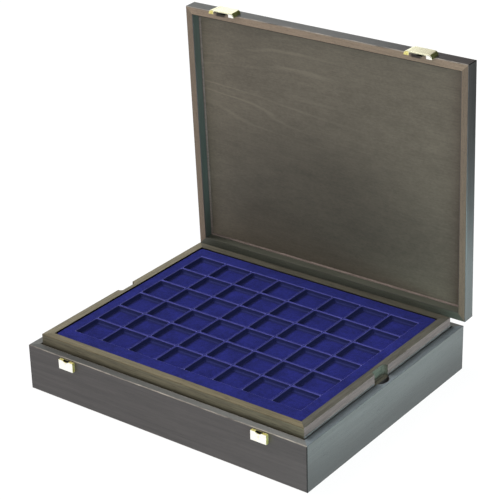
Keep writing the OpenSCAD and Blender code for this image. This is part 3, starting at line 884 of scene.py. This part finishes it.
class CoinCaseColours(bpy.types.PropertyGroup):
    """Colours of the finishes, in linear light."""
    case_stain: colour("Case stain", "Middle tone of the case boards", (0.036, 0.0305, 0.0295))
    base_rim: colour("Base rim", "Middle tone of the base's rim", (0.117, 0.115, 0.109))
    # Painted shade and cool light: the base's right rim takes a darker, cooler colour than the other base
    # rims, for the tray's shadow and the cool light from the right.
    side_rim: colour("Side rim", "Middle tone of the rim of the base's right board", (0.112, 0.128, 0.138))
    lid_rim: colour("Lid rim", "Middle tone of the lid's rim", (0.15, 0.108, 0.077))
    # Stain with painted cool light: the green-grey tone stands for the cool light from the right.
    lid_inside: colour("Lid inside", "Inner faces of the lid's boards", (0.07, 0.08, 0.069))
    # Painted shade: the lid's back board, down by the tray, takes this darker colour for its rim and inner
    # face.
    lid_foot: colour("Lid foot", "Rim and inner face of the lid's back board", (0.066, 0.066, 0.051))
    bead_tan: colour("Bead", "Bead round the lid's panel", (0.145, 0.11, 0.095))
    tray_stain: colour("Tray stain", "Middle tone of the tray rails", (0.13, 0.112, 0.075))
    # Painted light on the foot of the right rails' outer faces.
    rail_foot: colour("Rail foot", "Foot of the right rails' outer faces", (0.17, 0.165, 0.165))
    veneer_stain: colour("Veneer stain", "Middle tone of the panels", (0.119, 0.0985, 0.0745))
    # Rubbed wood and painted highlight, on the front boards' edges.
    rubbed_edge: colour("Rubbed edge", "Wood where the stain is rubbed off the edges", (0.3, 0.26, 0.22))
    flock_blue: colour("Flock", "Middle tone of the flock", (0.0072, 0.0084, 0.073))
    # Painted highlight: the pale flock on the pockets' rounded mouths.
    flock_edge: colour("Flock edge", "Flock on the rounded edges of the pockets", (0.05, 0.05, 0.2))
    brass: colour("Brass", "Polished brass", (0.95, 0.89, 0.64))
    floor_white: colour("Floor", "The studio's floor", (0.06, 0.06, 0.06))


class PieceMaker:
    """What the operators of the coin case share."""
    bl_options = {"REGISTER"}

    @property
    def sizes(self):
        return bpy.context.scene.coin_case_sizes

    @property
    def colours(self):
        return bpy.context.scene.coin_case_colours


class COINCASE_OT_base_boards(PieceMaker, bpy.types.Operator):
    """Four mitred boards of the base, with a finger scoop in each side board"""
    bl_idname = "coin_case.base_boards"
    bl_label = "Base Boards"

    def execute(self, context):
        s = self.sizes
        ring = add_frame("base_ring", BASE_BOX, WALL)
        scoop_x = BASE_BOX[1].x - WALL + s.wall_scoop_d - s.wall_scoop_r
        scoops = [add_rod("scoop", (x, 0, s.wall_scoop_z), (x, 0, 2 * RIM), s.wall_scoop_r, sides=64)
                  for x in (-scoop_x, scoop_x)]
        rebate = add_block("rebate", (*BASE_FLOOR[0].xy, -BASE_FLOOR[1].z), BASE_FLOOR[1])
        give(ring, *case_finishes("x", "base_front", self.colours))
        cut(ring, rebate, *scoops)
        for side in FRAME_SIDES:
            board = mitred(ring, BASE_BOX, side, f"base_{side}_board", s.board_ease, s.corner_groove)
            put_on(board, TOP, lambda f: faces(f, UP) and middle(f).z > RIM - NEAR)
            give(board, *case_finishes(grain_along(side), f"base_{side}", self.colours))
            smooth(board)
            fit(board, "base", "case_wood", f"base_{side}_wall")
        scrap(ring)
        return {"FINISHED"}


class COINCASE_OT_lid_boards(PieceMaker, bpy.types.Operator):
    """Four mitred boards of the lid, made shut and then turned open"""
    bl_idname = "coin_case.lid_boards"
    bl_label = "Lid Boards"

    def execute(self, context):
        s = self.sizes
        ring = add_frame("lid_ring", LID_BOX, WALL)
        give(ring, *case_finishes("x", "lid_front", self.colours))
        cut(ring, add_block("rebate", LID_PANEL[0], (*LID_PANEL[1].xy, 2 * LID_PANEL[1].z)))
        for side, out in FRAME_SIDES.items():
            ease = s.foot_ease if side == "back" else s.board_ease
            board = mitred(ring, LID_BOX, side, f"lid_{side}_board", ease, s.corner_groove)
            put_on(board, INSIDE, lambda f: faces(f, -out))
            put_on(board, TOP, lambda f: faces(f, -UP) and middle(f).z < LID_BOX[0].z + NEAR)
            # Painted shadow: the front board's rounded inner edge by the panel takes the dark finish, for the
            # shadow line along it.
            if side == "front":
                edge = Vector((0, LID_BOX[0].y + WALL, LID_BOX[0].z))
                put_on(board, DARK, lambda f: (middle(f) - edge).yz.length < 1.2 * s.board_ease
                       and min(abs(f.normal.y), abs(f.normal.z)) > 0.1)
            board.data.transform(OPEN_LID)
            give(board, *case_finishes(grain_along(side, "z"), f"lid_{side}", self.colours))
            smooth(board)
            fit(board, "lid", "case_wood", f"lid_{side}_wall")
        scrap(ring)
        inner = Vector((WALL, WALL, 0))
        low, high, foot = LID_BOX[0] + inner, LID_BOX[1] - inner, LID_PANEL[0].z - s.bead
        box = Vector((*low.xy, foot)), Vector((*high.xy, LID_PANEL[0].z))
        bead = add_frame("lid_panel_bead", box, s.bead)
        with editing(bead):
            round_over(lambda e: abs(middle(e).z - foot) < 0.1 * s.bead
                       and abs(middle(e).x) < high.x - 0.5 * s.bead
                       and abs(middle(e).y) < high.y - 0.5 * s.bead, 0.8 * s.bead, 4)
        bead.data.transform(OPEN_LID)
        give(bead, bead_wood("x", self.colours))
        smooth(bead)
        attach(bead, "lid")
        return {"FINISHED"}


class COINCASE_OT_panels(PieceMaker, bpy.types.Operator):
    """Veneer on the lid's panel, the bottom panel and the trays' floors"""
    bl_idname = "coin_case.panels"
    bl_label = "Panels"

    def execute(self, context):
        give(NODES["lid_top_panel"], panel_veneer(self.colours))
        # The bottom panel and the trays' floors take rail finishes, with their painted light and shade.
        give(NODES["base_bottom_panel"], tray_board("back", "face", self.colours))
        for tray in TRAYS:
            give(NODES[f"{tray}_floor"], tray_board("front", "face", self.colours))
        return {"FINISHED"}


class COINCASE_OT_tray_rails(PieceMaker, bpy.types.Operator):
    """Mitred rails of the three trays, with a finger scoop in each side rail"""
    bl_idname = "coin_case.tray_rails"
    bl_label = "Tray Rails"

    def execute(self, context):
        s = self.sizes
        ring = add_frame("tray_ring", TRAY_BOX, RAIL)
        ledge, above = TRAY_BOX[0].z + s.rail_scoop_z, 2 * TRAY_BOX[1].z
        flat = s.rail_scoop_w / 2 - s.rail_scoop_d
        cutters = [add_block("rebate", (*TRAY_FLOOR[0].xy, 0), TRAY_FLOOR[1])]
        for x in (TRAY_BOX[0].x, TRAY_BOX[1].x):
            cutters.append(add_block("scoop", (x - s.rail_scoop_d, -flat, ledge),
                                     (x + s.rail_scoop_d, flat, above)))
            cutters += [add_rod("scoop_end", (x, y * flat, ledge), (x, y * flat, above), s.rail_scoop_d)
                        for y in (-1, 1)]
        give(ring, *tray_finishes("left", self.colours))
        cut(ring, *cutters)

        def in_scoop(face):
            at = middle(face)
            sunk = TRAY_BOX[1].x - abs(at.x)
            return (abs(at.y) < s.rail_scoop_w / 2 and at.z < TRAY_BOX[1].z - s.rail_ease
                    and NEAR / 2 < sunk < s.rail_scoop_d + NEAR)

        for side, out in FRAME_SIDES.items():
            rail = mitred(ring, TRAY_BOX, side, f"bottom_tray_{side}_board", s.rail_ease)
            put_on(rail, TOP, lambda f: faces(f, UP) and middle(f).z > TRAY_BOX[1].z - NEAR)
            # Painted shade: the rails' inner faces, in shade beside the insert, take the dark finish.
            put_on(rail, DARK, lambda f: faces(f, -out))
            if side in HANDS:
                put_on(rail, INSIDE, in_scoop)
            give(rail, *tray_finishes(side, self.colours))
            smooth(rail)
            for tray, board in in_each_tray(rail, f"{side}_board"):
                fit(board, tray, "tray_wood", f"{tray}_{side}_rail")
        scrap(ring)
        return {"FINISHED"}


class COINCASE_OT_inserts(PieceMaker, bpy.types.Operator):
    """Flocked sheets with their square pockets, one for each tray"""
    bl_idname = "coin_case.inserts"
    bl_label = "Flocked Inserts"

    columns: bpy.props.IntProperty(name="Columns", description="Pockets from left to right", default=8, min=1)
    rows: bpy.props.IntProperty(name="Rows", description="Pockets from front to back", default=6, min=1)

    def execute(self, context):
        s, c = self.sizes, self.colours
        low, high = INSERT_BOX
        top, pitch = high.z, s.pocket + s.ridge
        floor, near = top - s.pocket_depth, NEAR / 2
        field = Vector((self.columns * pitch, self.rows * pitch, 1))
        bpy.ops.mesh.primitive_grid_add(x_subdivisions=self.columns, y_subdivisions=self.rows, size=1,
                                        location=(0, 0, top))
        bpy.ops.transform.resize(value=field, center_override=(0, 0, top))
        sheet = settle(bpy.context.object, "bottom_tray_insert")
        if len(sheet.data.polygons) != self.columns * self.rows:
            raise RuntimeError("the insert's grid has the wrong number of pockets")
        # Slots: plain flock, the mouths' painted highlight, the walls' painted shade and the floors with
        # their painted shadow.
        _, mouth, walls, floors = range(4)
        give(sheet, blue_flock(c), rubbed_flock(c), shaded_flock(c),
             pocket_flock(c, s, self.columns, self.rows))
        with editing(sheet):
            bpy.ops.mesh.inset(thickness=s.ridge / 2, use_individual=True)
            bpy.ops.mesh.inset(thickness=s.pocket_draft, depth=-s.pocket_depth, use_individual=True)
        # Painted shade: the pockets' walls take the darker wall flock.
        put_on(sheet, walls, lambda f: abs(f.normal.z) < 0.5)
        put_on(sheet, floors, lambda f: middle(f).z < floor + near)
        with editing(sheet):
            round_over(upright, s.pocket_corner, 4)
            # The rounded floors take the walls' painted shade, the rounded mouths the painted highlight.
            for level, ease, slot in ((floor, s.pocket_ease, walls), (top, s.mouth_ease, mouth)):
                round_over(lambda e: sharp(e, 60) and abs(middle(e).z - level) < near, ease, 3, material=slot)
            pick("EDGE", lambda e: len(e.link_faces) == 1)
            bpy.ops.mesh.extrude_edges_move()
            bpy.ops.transform.resize(value=((high.x - low.x) / field.x, (high.y - low.y) / field.y, 1),
                                     center_override=(0, 0, top))
            bpy.ops.mesh.extrude_edges_move(TRANSFORM_OT_translate={"value": (0, 0, low.z - top)})
            round_over(lambda e: upright(e) and abs(middle(e).x) > high.x - near
                       and abs(middle(e).y) > high.y - near, s.insert_corner, 6)
            round_over(lambda e: sharp(e, 60) and middle(e).z > top - near, s.insert_ease, 4)
            look_outward()
        finish_with(sheet, "SOLIDIFY", thickness=s.sheet, offset=-1, use_even_offset=True)
        smooth(sheet)
        for tray, insert in in_each_tray(sheet, "insert"):
            fit(insert, tray, "flock",
                *(f"{tray}_insert_{part}" for part in ("sheet", "column_ridges", "row_ridges")))
        return {"FINISHED"}


class COINCASE_OT_keepers(PieceMaker, bpy.types.Operator):
    """Folded brass keepers with a slot for the catch's tongue"""
    bl_idname = "coin_case.keepers"
    bl_label = "Keepers"

    slot_width: length("Slot", "Width of the slot in a keeper's top", 7.5)
    slot_depth: length("Slot depth", "Depth of the slot from the wall", 2.5)
    back_gap: length("Back", "Thickness of the keeper's back along the wall", 0.3)
    dip: length("Dip", "Depth of the dip in the front edge", 1.3)
    dip_radius: length("Dip radius", "Radius of the dip", 5.2)
    edge_ease: length("Edge", "Rounding of the keeper's edges", 0.5)
    prong_half: length("Prong", "Half the height of a prong", 1.2)

    def execute(self, context):
        s, c = self.sizes, self.colours
        low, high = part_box("keeper_right")
        x, skin = CLASP_X["right"], s.brass_gauge
        front, back, slot_y = (FRONT_FACE - gap for gap in (s.keeper_out, self.back_gap, self.slot_depth))
        keeper = add_block("keeper_right_brass", (low.x, front, low.z), (high.x, FRONT_FACE, high.z))
        room = add_block("room", (low.x + skin, front + skin, low.z + skin),
                         (high.x - skin, back, high.z - skin))
        slot = add_block("slot", (x - self.slot_width / 2, slot_y, high.z - 2 * skin),
                         (x + self.slot_width / 2, back, high.z + skin))
        dip_z = high.z - self.dip + self.dip_radius
        dip = add_rod("dip", (x, front - skin, dip_z), (x, slot_y + NEAR, dip_z), self.dip_radius)
        cut(keeper, room, slot, dip)
        give(keeper, brass("edge", c), brass_shade(c), brass_bright(c))
        _, inside, plate = range(3)
        ease_edges(keeper, self.edge_ease, 3)
        # Painted highlight: the keeper's front plate takes the almost white brass.
        put_on(keeper, plate, lambda f: faces(f, FRONT, 0.95) and middle(f).y < front + NEAR)
        prong_z = (low.z + high.z) / 2
        join(keeper, *[add_block("prong", (left, FRONT_FACE - 2 * NEAR, prong_z - self.prong_half),
                                 (left + skin, high.y, prong_z + self.prong_half))
                       for left in (low.x, high.x - skin)])
        # Painted shade: the keeper's inner faces, its back among them, take the almost black brass.
        put_on(keeper, inside, lambda f: low.x + 0.5 * skin < middle(f).x < high.x - 0.5 * skin
               and front + 0.7 * skin < middle(f).y < FRONT_FACE - NEAR
               and low.z + 0.5 * skin < middle(f).z < high.z - 0.3 * skin)
        smooth(keeper)
        fit(mirrored(keeper, "keeper_left_brass"), "base", "brass", "keeper_left")
        fit(keeper, "base", "brass", "keeper_right")
        return {"FINISHED"}


class COINCASE_OT_catch_levers(PieceMaker, bpy.types.Operator):
    """Sprung levers: a rounded brass hood with an arch in its near wall, and the tongue inside it"""
    bl_idname = "coin_case.catch_levers"
    bl_label = "Catch Levers"

    shoulder: length("Shoulder", "Rounding of the hood's long edges", 3.9)
    near_ease: length("Near edge", "Rounding of the hood's near edges", 0.9)
    border: length("Border", "Width of the border round the hood's flat top", 2)
    sunk: length("Sunk top", "How far the hood's flat top lies below its border", 0.1)
    arch_ease: length("Arch", "Rounding of the arch's corners", 1.2)
    part_ease: length("Inner edge", "Rounding of the parts inside the hood", 0.2)
    taper: bpy.props.FloatProperty(name="Taper", description="Width of the far end against the near end",
                                   default=0.92, subtype="FACTOR")

    def execute(self, context):
        c = self.colours
        place = Vector((CLASP_X["right"], FRONT_FACE, RIM))

        def at(u, v, w):
            """A point of the shut catch, in millimetres: across, out of the lid's front, up from the rim."""
            return place + Vector((u, -v, w)) * MM

        # The hood's foot, crown, near end, far end and half width; its arch and the foot of the shade ribs,
        # dark blocks that paint shade in the arch; and how far from the catch's middle the painted reflection
        # on the legs and the painted shade on the flank and the ribs begin.
        foot, crown, hang, top, half = 0.4, 4.5, -6.8, 7.0, 15.1
        arch_half, arch_out, arch_top, shade_rib_foot = 9.2, 3.5, hang + 1.6, -1.2
        leg_inner, flank_inner, shade_rib_inner = 9, 11, 3
        crown_y, foot_y = at(0, crown, 0).y + NEAR, at(0, foot, 0).y - NEAR
        hood = add_block("catch_lever_right_brass", at(-half, crown, hang), at(half, foot, top))
        give(hood, brass_sheet(c), brass("edge", c), brass_shade(c), brass("tarnish", c), brass_bright(c))
        _, edge, shade, tarnish, bright = range(5)
        with editing(hood):
            round_over(lambda e: upright(e) and middle(e).y < crown_y, self.shoulder, 8)
            pick("VERT", lambda v: v.co.z > at(0, 0, top).z - NEAR)
            bpy.ops.transform.resize(value=(self.taper, 1, 1), center_override=place)
            round_over(lambda e: abs(along(e).z) < 0.1 and middle(e).y < foot_y and middle(e).z < RIM,
                       self.near_ease, 3)
            pick("FACE", lambda f: faces(f, FRONT) and middle(f).y < crown_y)
            bpy.ops.mesh.inset(thickness=self.border, depth=-self.sunk)
            pick("FACE", lambda f: faces(f, BACK, 0.9) or faces(f, UP, 0.9))
            bpy.ops.mesh.delete(type="FACE")
            for u in (-arch_half, arch_half):
                bpy.ops.mesh.select_all(action="SELECT")
                bpy.ops.mesh.bisect(plane_co=at(u, 0, 0), plane_no=(1, 0, 0))
        # The hood's inner shell takes the brass painted as shade, its cut rims the yellower painted
        # reflection.
        finish_with(hood, "SOLIDIFY", thickness=self.sizes.brass_gauge, offset=-1, material_offset=shade,
                    material_offset_rim=edge)
        arch = add_block("arch", at(-arch_half, arch_out, hang - 1), at(arch_half, foot - 1, arch_top))
        with editing(arch):
            round_over(lambda e: upright(e) and middle(e).y < at(0, arch_out, 0).y + NEAR, self.arch_ease, 4)
        cut(hood, arch)
        parts = [add_block(name, at(*low), at(*high)) for name, low, high in (
            ("tongue", (-3.25, 1.0, -4.6), (3.25, 0.4, 0.9)), ("web", (-3.25, 2.2, 0.2), (3.25, 0.5, 0.9)),
            ("ear", (-8.2, 3.6, 3.2), (-7.2, 1.2, 6.4)), ("ear", (7.2, 3.6, 3.2), (8.2, 1.2, 6.4)),
            ("rib", (-9.6, 3.6, shade_rib_foot), (-3.6, 0.5, -0.5)),
            ("rib", (3.6, 3.6, shade_rib_foot), (9.6, 0.5, -0.5)))]
        # Painted shade: the tongue, web, ears and ribs inside the hood are almost black.
        for part in parts:
            ease_edges(part, self.part_ease, 2)
            give(part, brass_shade(c))
        join(hood, *parts)
        smooth(hood, 45)

        def leg(face):
            """Whether the face is the foot of one of the hood's two legs."""
            return faces(face, -UP, 0.8) and middle(face).z < at(0, 0, hang + 0.2).z

        for hand, piece in (("left", mirrored(hood, "catch_lever_left_brass")), ("right", hood)):
            def across(face):
                return (middle(face).x - CLASP_X[hand]) / MM

            # Painted reflection and shade, set by each lever's own side: the left legs a deeper yellow, the
            # right legs a painted highlight, and the right flanks and the feet of the right ribs a dark olive
            # shade.
            put_on(piece, edge, lambda f: leg(f) and across(f) < -leg_inner)
            put_on(piece, bright, lambda f: leg(f) and across(f) > leg_inner)
            put_on(piece, tarnish, lambda f: middle(f).z > at(0, 0, hang + 0.8).z and f.normal.x > 0.4
                   and across(f) > flank_inner)
            put_on(piece, tarnish, lambda f: faces(f, -UP, 0.5) and across(f) > shade_rib_inner
                   and abs(middle(f).z - at(0, 0, shade_rib_foot).z) < NEAR)
            piece.data.transform(OPEN_LID)
            fit(piece, f"{hand}_catch", "brass", f"catch_lever_{hand}")
        return {"FINISHED"}


class COINCASE_OT_hinge_screws(PieceMaker, bpy.types.Operator):
    """Countersunk screws of the hinges, each slot turned as the screw happened to stop"""
    bl_idname = "coin_case.hinge_screws"
    bl_label = "Hinge Screws"

    slot_width: length("Slot", "Width of a screw's slot", 0.55)
    slot_depth: length("Slot depth", "Depth of a screw's slot", 0.4)

    def execute(self, context):
        low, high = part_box("hinge_screws_base")
        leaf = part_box("hinge_base_leaf_right")
        hinge_x, z = (leaf[0].x + leaf[1].x) / 2, (low.z + high.z) / 2
        face, back, head = high.y, BASE_BOX[1].y, (high.z - low.z) / 2
        reach = high.x - head - hinge_x
        screw = add_rod("screw", (hinge_x, face, z), (hinge_x, back, z), head, self.sizes.screw_shank)
        with editing(screw):
            pick("FACE", lambda f: faces(f, FRONT, 0.9))
            bpy.ops.mesh.extrude_region_move(TRANSFORM_OT_translate={"value": (0, low.y - back, 0)})
        slot = add_block("slot", (hinge_x - 2 * head, face - self.slot_depth, z - self.slot_width / 2),
                         (hinge_x + 2 * head, face + head, z + self.slot_width / 2))
        cut(screw, slot)
        # Screw heads take the yellower painted reflection, and the slots' floors painted shade.
        give(screw, brass("edge", self.colours), brass_shade(self.colours))
        put_on(screw, 1, lambda f: faces(f, BACK, 0.9)
               and abs(face - middle(f).y - self.slot_depth) < 0.05 * self.slot_depth)
        smooth(screw)
        places = [side * hinge_x + way * reach for side in (-1, 1) for way in (-1, 1)]
        turns, lid_turn = (0.4, 1.9, 2.6, 1.1), 0.9
        to_middle = Matrix.Translation((-hinge_x, 0, -z))
        lift = 2 * (LID_HINGE["pos_m"][2] - z)
        for body, up, extra, move in (("base", 0, 0, Matrix()), ("lid", lift, lid_turn, OPEN_LID)):
            screws = [copied(screw, f"hinge_screws_{body}_slotted", Matrix.Translation((x, 0, z + up))
                             @ Matrix.Rotation(turn + extra, 4, "Y") @ to_middle)
                      for x, turn in zip(places, turns)]
            row = join(*screws)
            row.data.transform(move)
            fit(row, body, "brass", f"hinge_screws_{body}")
        scrap(screw)
        return {"FINISHED"}


class COINCASE_OT_fittings(PieceMaker, bpy.types.Operator):
    """Brass on the hinges and on the small parts of the catches"""
    bl_idname = "coin_case.fittings"
    bl_label = "Brass Fittings"

    def execute(self, context):
        for hand in HANDS:
            for part in ("hinge_base_leaf", "hinge_lid_leaf", "hinge_pin", "catch_plate", "catch_pin",
                         "catch_spring"):
                give(NODES[f"{part}_{hand}"], brass_sheet(self.colours))
        give(NODES["catch_nails"], brass_sheet(self.colours))
        return {"FINISHED"}


class COINCASE_OT_stage(PieceMaker, bpy.types.Operator):
    """A white floor, soft light from above and a camera in front of the case's right corner"""
    bl_idname = "coin_case.stage"
    bl_label = "Stage"

    # Kind, name, place, aim and settings of each light, and whether reflections show it.
    lights = (
        ("SUN", "overhead", (-0.7, -0.05, 1), (0, 0, 0), {"energy": 4.6, "angle": radians(35)}, False),
        ("SUN", "front", (0.1, -1, 0.5), (0, 0, 0), {"energy": 1.04, "angle": radians(60)}, False),
        ("AREA", "low_right", (0.36, 0, 0.03), (0, 0, 0.025),
         {"energy": 1.65, "shape": "RECTANGLE", "size": 0.6, "size_y": 0.05,
          "color": (0.6, 0.97, 1.0)}, True),
        ("AREA", "right", (0.9, -0.35, 0.35), (-0.1, 0.13, 0.2),
         {"energy": 2.2, "size": 0.4, "color": (0.72, 1.0, 1.0)}, False),
    )
    flags = (("studio_flag", (0.22, 0.42, 0.0), (1.4, 0.43, 1.2)),
             ("studio_flag_high", (-0.12, 0.48, 0.36), (0.5, 0.49, 1.2)))
    camera_place = (0.87761, -1.15486, 0.83054)
    camera_turn = (64.421, 1.279, 36.434)
    camera_lens = 124.827

    def add_lights(self):
        for kind, name, place, aim, settings, glossy in self.lights:
            lamp = bpy.data.lights.new(name, kind)
            for key, value in settings.items():
                setattr(lamp, key, value)
            light = bpy.data.objects.new(name, lamp)
            bpy.context.scene.collection.objects.link(light)
            light.location = place
            light.rotation_euler = (Vector(aim) - Vector(place)).to_track_quat("-Z", "Y").to_euler()
            light.visible_camera, light.visible_glossy = False, glossy

    def add_flags(self):
        """Dark cards behind the right corner and the lid, which only reflections show."""
        for name, low, high in self.flags:
            flag = add_block(name, low, high)
            give(flag, dark_card(self.colours))
            for ray in ("camera", "diffuse", "shadow", "transmission"):
                setattr(flag, f"visible_{ray}", False)
            flag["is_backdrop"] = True

    def studio_air(self):
        """Soft air all round, and for reflections a bright wall behind the left corner."""
        world = bpy.data.worlds.new("studio_air")
        air = Finish(world)
        soft, wall_dark, wall_bright, wall_way = 0.35, 0.12, 1.05, (-0.54, 0.72, 0.43)
        way = air.node("ShaderNodeTexCoord", output="Generated")
        lean = air.node("ShaderNodeVectorMath", {"operation": "DOT_PRODUCT"}, {0: way, 1: wall_way},
                        output="Value")
        glossy = air.node("ShaderNodeLightPath", output="Is Glossy Ray")
        wall = wall_dark + (wall_bright - wall_dark) * lean.step(0.1, 0.9)
        air.set(strength=soft + glossy * (wall - soft), color=air.blend(glossy, (1, 1, 1), (0.92, 1, 0.98)))
        return world

    def execute(self, context):
        scene = context.scene
        bpy.ops.mesh.primitive_plane_add(size=60, location=(0, 0, -2 * NEAR))
        floor = settle(bpy.context.object, "studio_floor")
        give(floor, studio_floor(self.colours))
        floor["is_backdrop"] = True
        self.add_lights()
        self.add_flags()
        scene.world = self.studio_air()
        scene.view_settings.view_transform = "Standard"
        lens = bpy.data.cameras.new("photo_view")
        lens.lens, lens.sensor_width, lens.clip_end = self.camera_lens, 36, 100
        camera = bpy.data.objects.new("photo_view", lens)
        scene.collection.objects.link(camera)
        camera.location = self.camera_place
        camera.rotation_euler = Euler([radians(turn) for turn in self.camera_turn])
        scene.camera = camera
        return {"FINISHED"}


PIECES = (COINCASE_OT_base_boards, COINCASE_OT_lid_boards, COINCASE_OT_panels, COINCASE_OT_tray_rails,
          COINCASE_OT_inserts, COINCASE_OT_keepers, COINCASE_OT_catch_levers, COINCASE_OT_hinge_screws,
          COINCASE_OT_fittings, COINCASE_OT_stage)


class COINCASE_PT_pieces(bpy.types.Panel):
    """Lists the pieces of the coin case in the order in which they are made"""
    bl_idname = "COINCASE_PT_pieces"
    bl_label = "Coin Case"
    bl_space_type = "VIEW_3D"
    bl_region_type = "UI"
    bl_category = "Coin Case"

    def draw(self, context):
        for piece in PIECES:
            self.layout.operator(piece.bl_idname)
        for group in (context.scene.coin_case_sizes, context.scene.coin_case_colours):
            box = self.layout.box()
            for name in group.__annotations__:
                box.prop(group, name)


CLASSES = (CoinCaseSizes, CoinCaseColours, *PIECES, COINCASE_PT_pieces)


def register():
    for cls in CLASSES:
        bpy.utils.register_class(cls)
    bpy.types.Scene.coin_case_sizes = bpy.props.PointerProperty(type=CoinCaseSizes)
    bpy.types.Scene.coin_case_colours = bpy.props.PointerProperty(type=CoinCaseColours)


def unregister():
    del bpy.types.Scene.coin_case_colours
    del bpy.types.Scene.coin_case_sizes
    for cls in reversed(CLASSES):
        bpy.utils.unregister_class(cls)


def main():
    register()
    for piece in PIECES:
        getattr(bpy.ops.coin_case, piece.bl_idname.split(".")[1])()
    boxes = {"cad": CAD_BOX, "visual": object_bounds()}
    {name: [list(corner) for corner in box] for name, box in boxes.items()}


if __name__ == "__main__":
    main()
